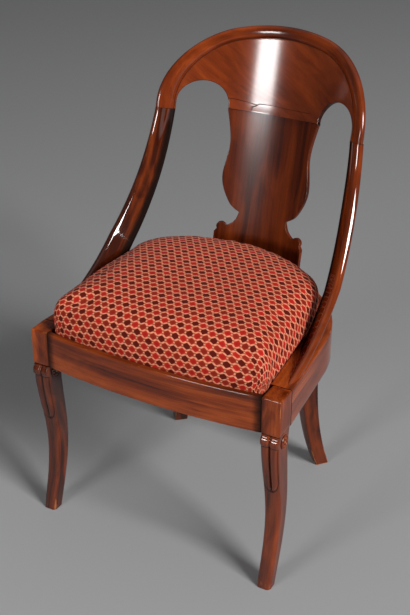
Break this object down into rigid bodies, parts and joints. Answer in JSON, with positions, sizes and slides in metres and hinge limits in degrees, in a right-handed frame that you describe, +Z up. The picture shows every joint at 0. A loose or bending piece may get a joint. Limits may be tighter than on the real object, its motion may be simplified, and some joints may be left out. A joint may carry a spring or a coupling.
{
  "type": "gondola chair",
  "caption": "Polished wooden gondola chair: hooped back with a vase splat, stiles sweeping forward onto a horseshoe seat frame, sabre legs and a patterned drop-in seat.",
  "frame": {"origin": "on the floor, under the middle of the chair's outer box", "axes": "+Z up, -Y the way a sitter faces, +X to the right of a viewer in front"},
  "size_m": [0.4808, 0.5237, 0.8217],
  "materials": {
    "show_wood": "polished",
    "plain_wood": "unpolished",
    "steel": "dull",
    "webbing": "woven jute",
    "hessian": "coarse weave",
    "stuffing": "felted",
    "seat_cloth": "woven pattern"
  },
  "bodies": {
    "chair_frame": {"front_rail": "show_wood", "side_rail_left": "show_wood", "side_rail_right": "show_wood", "back_rail": "show_wood", "front_leg_left": "show_wood", "front_leg_right": "show_wood", "rear_leg_left": "show_wood", "rear_leg_right": "show_wood", "stile_left": "show_wood", "stile_right": "show_wood", "crest_rail": "show_wood", "splat": "show_wood", "corner_block_left": "plain_wood", "corner_block_right": "plain_wood", "crest_dowels": "plain_wood", "rail_dowels": "plain_wood", "stile_dowels": "plain_wood", "corner_block_screws": "steel"},
    "drop_in_seat": {"seat_rail_front": "plain_wood", "seat_rail_back": "plain_wood", "seat_rail_left": "plain_wood", "seat_rail_right": "plain_wood", "seat_dowels": "plain_wood", "webbing_lengthwise": "webbing", "webbing_crosswise": "webbing", "webbing_tacks": "steel", "hessian": "hessian", "stuffing": "stuffing", "seat_cover": "seat_cloth", "cover_tacks": "steel"}
  },
  "joints": [
    {"name": "seat_lift", "type": "slide", "parent": "chair_frame", "child": "drop_in_seat", "axis": [0, 0, 1], "range_m": [0, 0.5]}
  ]
}
